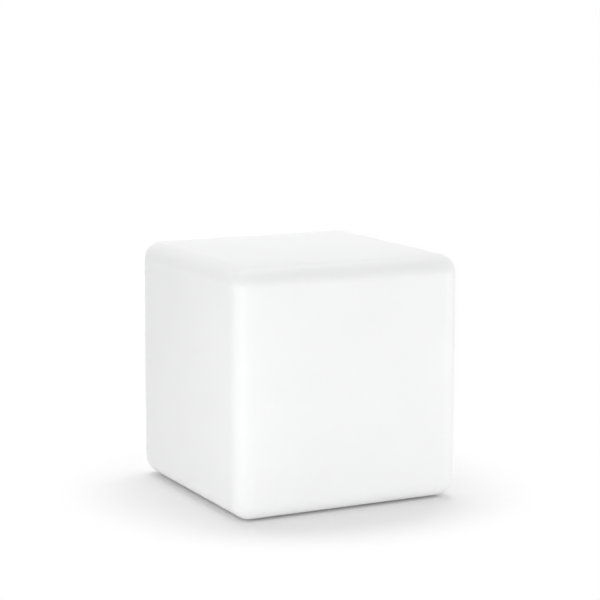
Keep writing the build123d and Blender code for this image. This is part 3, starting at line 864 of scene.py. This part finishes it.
def bulb_housing():
    """Moulded body: a collar, and a cone widening to the globe, with the board's seat on top."""
    foot, top, outer = high("bulb_cap").z, high("bulb_housing").z, high("bulb_housing").x
    plug = high("bulb_cap").x - CAP_THREAD_DEPTH - 2 * CAP_SHEET
    board, seat = low("led_board").z, high("led_board").x + CAP_SHEET
    collar_top = foot + HOUSING_COLLAR
    side = [(HOUSING_FOOT_RADIUS, foot), (HOUSING_FOOT_RADIUS, collar_top), (outer, top)]
    corners = [
        (0, foot - HOUSING_COLLAR),
        (plug, foot - HOUSING_COLLAR),
        (plug, foot),
        *eased(side, HOUSING_EASING, WAIST_STEPS),
        (seat, top),
        (seat, board),
        (0, board),
    ]
    outline = eased(corners, HOUSING_EDGE_EASING)
    return dress(lathe("housing", outline, BULB_STEPS), "bulb_housing")


def bulb_globe():
    """Opal dome, more than half a ball, open where it meets the housing."""
    lowest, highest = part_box("bulb_globe")
    centre = highest.z - GLOBE_RADIUS
    outline = []
    for radius, way in ((GLOBE_RADIUS, 1), (GLOBE_RADIUS - GLOBE_WALL, -1)):
        start = math.asin((lowest.z - centre) / radius)
        arc = []
        for i in range(GLOBE_STEPS):
            turn = start + (math.pi / 2 - start) * i / GLOBE_STEPS
            arc.append((radius * math.cos(turn), centre + radius * math.sin(turn)))
        arc.append((0, centre + radius))
        outline += arc[::-way]
    return dress(lathe("globe", outline, BULB_STEPS), "bulb_globe")


def softened(node, width):
    """Rounds the edges of a CAD node that stays, and shades its curved faces smooth."""
    obj = frame["nodes"][node]
    weld = obj.modifiers.new("weld", "WELD")
    weld.merge_threshold = SAME_PLACE
    flatten = obj.modifiers.new("flatten", "DECIMATE")
    flatten.decimate_type = "DISSOLVE"
    flatten.angle_limit = math.radians(FLAT_ANGLE)
    bevel = obj.modifiers.new("bevel", "BEVEL")
    bevel.width = width
    bevel.segments = 2
    bevel.limit_method = "ANGLE"
    bevel.angle_limit = math.radians(ROUNDED_ANGLE)
    bevel.use_clamp_overlap = True
    bevel.harden_normals = True
    return obj


class Nodes:
    """Short calls for building one material's node tree."""

    def __init__(self, name):
        self.material = bpy.data.materials.new(name)
        self.material.use_nodes = True
        self.tree = self.material.node_tree
        self.shader = self.tree.nodes["Principled BSDF"]
        self.place = self.tree.nodes.new("ShaderNodeTexCoord").outputs["Object"]

    def set(self, **values):
        for key, value in values.items():
            self.shader.inputs[key.replace("_", " ")].default_value = value

    def link(self, source, target):
        """Links to a socket, or to the shader's socket of this name."""
        if isinstance(target, str):
            target = self.shader.inputs[target]
        self.tree.links.new(source, target)

    def noise(self, scale, detail=3.0, roughness=0.5):
        node = self.tree.nodes.new("ShaderNodeTexNoise")
        node.inputs["Scale"].default_value = scale
        node.inputs["Detail"].default_value = detail
        node.inputs["Roughness"].default_value = roughness
        self.link(self.place, node.inputs["Vector"])
        return node.outputs["Fac"]

    def ramp(self, source, low_value, high_value, low_colour, high_colour):
        node = self.tree.nodes.new("ShaderNodeValToRGB")
        node.color_ramp.elements[0].position = low_value
        node.color_ramp.elements[1].position = high_value
        node.color_ramp.elements[0].color = (*low_colour, 1)
        node.color_ramp.elements[1].color = (*high_colour, 1)
        self.link(source, node.inputs["Fac"])
        return node.outputs["Color"]

    def span(self, source, low_value, high_value):
        node = self.tree.nodes.new("ShaderNodeMapRange")
        node.inputs["To Min"].default_value = low_value
        node.inputs["To Max"].default_value = high_value
        self.link(source, node.inputs["Value"])
        return node.outputs["Result"]

    def bump(self, height, strength, distance, under=None):
        node = self.tree.nodes.new("ShaderNodeBump")
        node.inputs["Strength"].default_value = strength
        node.inputs["Distance"].default_value = distance
        self.link(height, node.inputs["Height"])
        if under is not None:
            self.link(under, node.inputs["Normal"])
        return node.outputs["Normal"]


def moulded(name, colour, roughness, grain=900.0, relief=0.2, mottle=8.0, shade=0.96):
    """A moulded finish: fine grain in relief, and slow changes of colour and gloss."""
    n = Nodes(name)
    darker = tuple(c * shade for c in colour)
    smoothest, roughest = roughness * 0.85, min(1.0, roughness * 1.2)
    n.link(n.ramp(n.noise(mottle), 0.35, 0.65, darker, colour), "Base Color")
    n.link(n.span(n.noise(grain / 10), smoothest, roughest), "Roughness")
    pits = n.noise(grain, detail=2.0, roughness=0.6)
    n.link(n.bump(pits, relief, distance=0.0002), "Normal")
    return n


def metal(name, colour, roughness, grain=1500.0, relief=0.08, shade=0.8):
    """A plated, turned or rolled metal: uneven gloss with duller, darker patches."""
    n = Nodes(name)
    darker = tuple(c * shade for c in colour)
    smoothest, roughest = roughness * 0.7, roughness * 1.5
    patches = n.noise(130.0, detail=5.0, roughness=0.65)
    n.link(n.ramp(patches, 0.3, 0.7, darker, colour), "Base Color")
    wear = n.noise(260.0, detail=4.0, roughness=0.6)
    n.link(n.span(wear, smoothest, roughest), "Roughness")
    marks = n.noise(grain, detail=3.0, roughness=0.6)
    n.link(n.bump(marks, relief, distance=0.0001), "Normal")
    n.set(Metallic=1.0)
    return n


def rubber(name, colour, grain, relief):
    n = moulded(name, colour, 0.75, grain=grain, relief=relief, mottle=40.0, shade=0.8)
    n.set(Specular_IOR_Level=0.35)
    return n


def insulation(name, colour):
    n = moulded(name, colour, 0.38, grain=1200.0, relief=0.1, mottle=60.0, shade=0.85)
    n.set(Coat_Weight=0.15)
    return n


def diffuser():
    """Rotomoulded polyethylene: satin, faintly translucent, softly pebbled, a little wavy."""
    n = Nodes("moulded_polyethylene")
    darker, paler = (0.925, 0.925, 0.922), (0.940, 0.940, 0.938)
    clouds = n.noise(9.0, detail=2.0, roughness=0.45)
    n.link(n.ramp(clouds, 0.3, 0.7, darker, paler), "Base Color")
    n.link(n.span(n.noise(60.0), 0.44, 0.54), "Roughness")
    grain = n.noise(1400.0, detail=2.0, roughness=0.6)
    pebbled = n.bump(grain, strength=0.10, distance=0.0002)
    waves = n.noise(14.0, detail=1.0)
    n.link(n.bump(waves, strength=0.05, distance=0.004, under=pebbled), "Normal")
    n.set(Subsurface_Weight=0.25, Subsurface_Scale=0.012, Subsurface_Radius=(1.0, 0.95, 0.9))
    return n


def opal():
    """Opal bulb dome: smooth, glossy and cloudy right through."""
    colour = (0.90, 0.90, 0.89)
    n = moulded("opal_dome", colour, 0.22, grain=500.0, relief=0.03, mottle=20.0, shade=0.985)
    n.set(Subsurface_Weight=0.6, Subsurface_Scale=0.006, Subsurface_Radius=(1.0, 0.97, 0.92))
    n.set(Coat_Weight=0.3, Coat_Roughness=0.15)
    return n


def make_finishes():
    """One finish for each material slot of the record."""
    made = {
        "diffuser": diffuser(),
        "pan_plastic": moulded("pan_plastic", (0.80, 0.80, 0.79), 0.5, grain=700.0, relief=0.25),
        "gasket_rubber": rubber("gasket_rubber", (0.085, 0.085, 0.085), grain=2200.0, relief=0.7),
        "foot_rubber": rubber("foot_rubber", (0.04, 0.04, 0.04), grain=1500.0, relief=0.25),
        "stainless": metal("stainless", (0.62, 0.61, 0.59), 0.28),
        "zinc_steel": metal("zinc_steel", (0.66, 0.67, 0.69), 0.34, shade=0.7),
        "nickel": metal("nickel", (0.72, 0.70, 0.66), 0.22),
        "brass": metal("brass", (0.78, 0.60, 0.30), 0.28),
        "gland_nylon": moulded(
            "gland_nylon", (0.045, 0.045, 0.047), 0.45, grain=1100.0, shade=0.8
        ),
        "block_plastic": moulded(
            "block_plastic", (0.84, 0.83, 0.77), 0.4, grain=800.0, mottle=60.0
        ),
        "holder_plastic": moulded(
            "holder_plastic", (0.03, 0.03, 0.032), 0.3, grain=500.0, relief=0.08, shade=0.75
        ),
        "insert_ceramic": moulded(
            "insert_ceramic", (0.83, 0.80, 0.73), 0.22, grain=400.0, relief=0.08, mottle=90.0
        ),
        "lead_brown": insulation("lead_brown", (0.17, 0.075, 0.035)),
        "lead_blue": insulation("lead_blue", (0.04, 0.13, 0.42)),
        "solder": metal("solder", (0.70, 0.70, 0.71), 0.4, relief=0.3),
        "insulator_black": moulded(
            "insulator_black", (0.012, 0.012, 0.015), 0.12, relief=0.05, shade=0.7
        ),
        "bulb_plastic": moulded(
            "bulb_plastic", (0.86, 0.86, 0.85), 0.32, grain=600.0, relief=0.08
        ),
        "opal": opal(),
        "board_aluminium": moulded("board_aluminium", (0.86, 0.87, 0.87), 0.35, mottle=90.0),
        "led_phosphor": moulded(
            "led_phosphor", (0.86, 0.62, 0.08), 0.45, grain=3000.0, mottle=900.0, shade=0.8
        ),
    }
    return {slot: nodes.material for slot, nodes in made.items()}


def finish_cad_nodes():
    for node, slot in SLOTS.items():
        mesh = frame["nodes"][node].data
        mesh.materials.clear()
        mesh.materials.append(FINISHES[slot])


def camera():
    data = bpy.data.cameras.new("camera")
    data.lens = CAMERA_LENS
    data.sensor_width = CAMERA_SENSOR
    obj = new_object("camera", data)
    obj.location = CAMERA_PLACE
    obj.rotation_euler = (math.radians(90 - CAMERA_PITCH), 0, math.radians(-CAMERA_YAW))
    bpy.context.scene.camera = obj


def area_lamp(name, place, aim, width, height, power):
    data = bpy.data.lights.new(name, "AREA")
    data.shape = "RECTANGLE"
    data.size = width
    data.size_y = height
    data.energy = power
    obj = new_object(name, data)
    obj.location = place
    obj.rotation_euler = (Vector(aim) - Vector(place)).to_track_quat("-Z", "Y").to_euler()
    obj.visible_camera = False


def combined(tree, operation, first, second):
    node = tree.nodes.new("ShaderNodeMath")
    node.operation = operation
    tree.links.new(first, node.inputs[0])
    tree.links.new(second, node.inputs[1])
    return node.outputs[0]


def sees_surround(tree):
    """1 for the rays that show the surround as it looks: camera, glossy and transmission rays."""
    path = tree.nodes.new("ShaderNodeLightPath").outputs
    mirrored = combined(tree, "MAXIMUM", path["Is Glossy Ray"], path["Is Transmission Ray"])
    return combined(tree, "MAXIMUM", path["Is Camera Ray"], mirrored)


def floor():
    """White floor that keeps the shadow near the lamp and turns plain white further off."""
    bm = bmesh.new()
    bmesh.ops.create_grid(bm, x_segments=8, y_segments=8, size=FLOOR_SIZE)
    obj = mesh_object("floor", bm)
    material = bpy.data.materials.new("floor")
    material.use_nodes = True
    tree = material.node_tree
    tree.nodes.clear()
    out = tree.nodes.new("ShaderNodeOutputMaterial")
    diffuse = tree.nodes.new("ShaderNodeBsdfDiffuse")
    diffuse.inputs["Color"].default_value = (1, 1, 1, 1)
    glow = tree.nodes.new("ShaderNodeEmission")
    mix = tree.nodes.new("ShaderNodeMixShader")
    distance = tree.nodes.new("ShaderNodeVectorMath")
    distance.operation = "LENGTH"
    place = tree.nodes.new("ShaderNodeTexCoord").outputs["Object"]
    tree.links.new(place, distance.inputs[0])
    reach = tree.nodes.new("ShaderNodeMapRange")
    reach.interpolation_type = "SMOOTHSTEP"
    reach.inputs["From Min"].default_value = FLOOR_SHOWS_SHADOW_TO
    reach.inputs["From Max"].default_value = FLOOR_ALL_WHITE_FROM
    tree.links.new(distance.outputs["Value"], reach.inputs["Value"])
    whitened = combined(tree, "MULTIPLY", reach.outputs["Result"], sees_surround(tree))
    tree.links.new(whitened, mix.inputs["Fac"])
    tree.links.new(diffuse.outputs[0], mix.inputs[1])
    tree.links.new(glow.outputs[0], mix.inputs[2])
    tree.links.new(mix.outputs[0], out.inputs["Surface"])
    obj.data.materials.append(material)


def surround():
    world = bpy.data.worlds.new("world")
    world.use_nodes = True
    tree = world.node_tree
    strength = tree.nodes.new("ShaderNodeMapRange")
    strength.inputs["To Min"].default_value = WORLD_LIGHT
    strength.inputs["To Max"].default_value = 1.0
    tree.links.new(sees_surround(tree), strength.inputs["Value"])
    tree.links.new(strength.outputs["Result"], tree.nodes["Background"].inputs["Strength"])
    tree.nodes["Background"].inputs["Color"].default_value = (1, 1, 1, 1)
    bpy.context.scene.world = world


SLOTS = {part["node"]: part["material_slot"] for part in frame["record"]["subparts"]}
FINISHES = make_finishes()

bpy.context.scene.view_settings.view_transform = "Standard"
camera()
floor()
surround()
for lamp in LAMPS:
    area_lamp(*lamp)

finish_cad_nodes()
diffuser_shell()
threaded_inserts()
base_screws()
bridge_screws()
rubber_feet()
gland_body()
gland_nut()
gland_locknut()
gland_ring("gland_washer", GLAND_THREAD_RADIUS, GLAND_FLATS / 2, WASHER_EASING)
gland_ring("gland_bush", CABLE_BORE_RADIUS, BUSH_OUTER_RADIUS, BUSH_EASING)
holder_nipple()
nipple_nut()
holder_cap()
holder_barrel()
bulb_tip()
bulb_insulator()
bulb_cap()
bulb_housing()
bulb_globe()
for node, width in SOFTENED.items():
    softened(node, width)
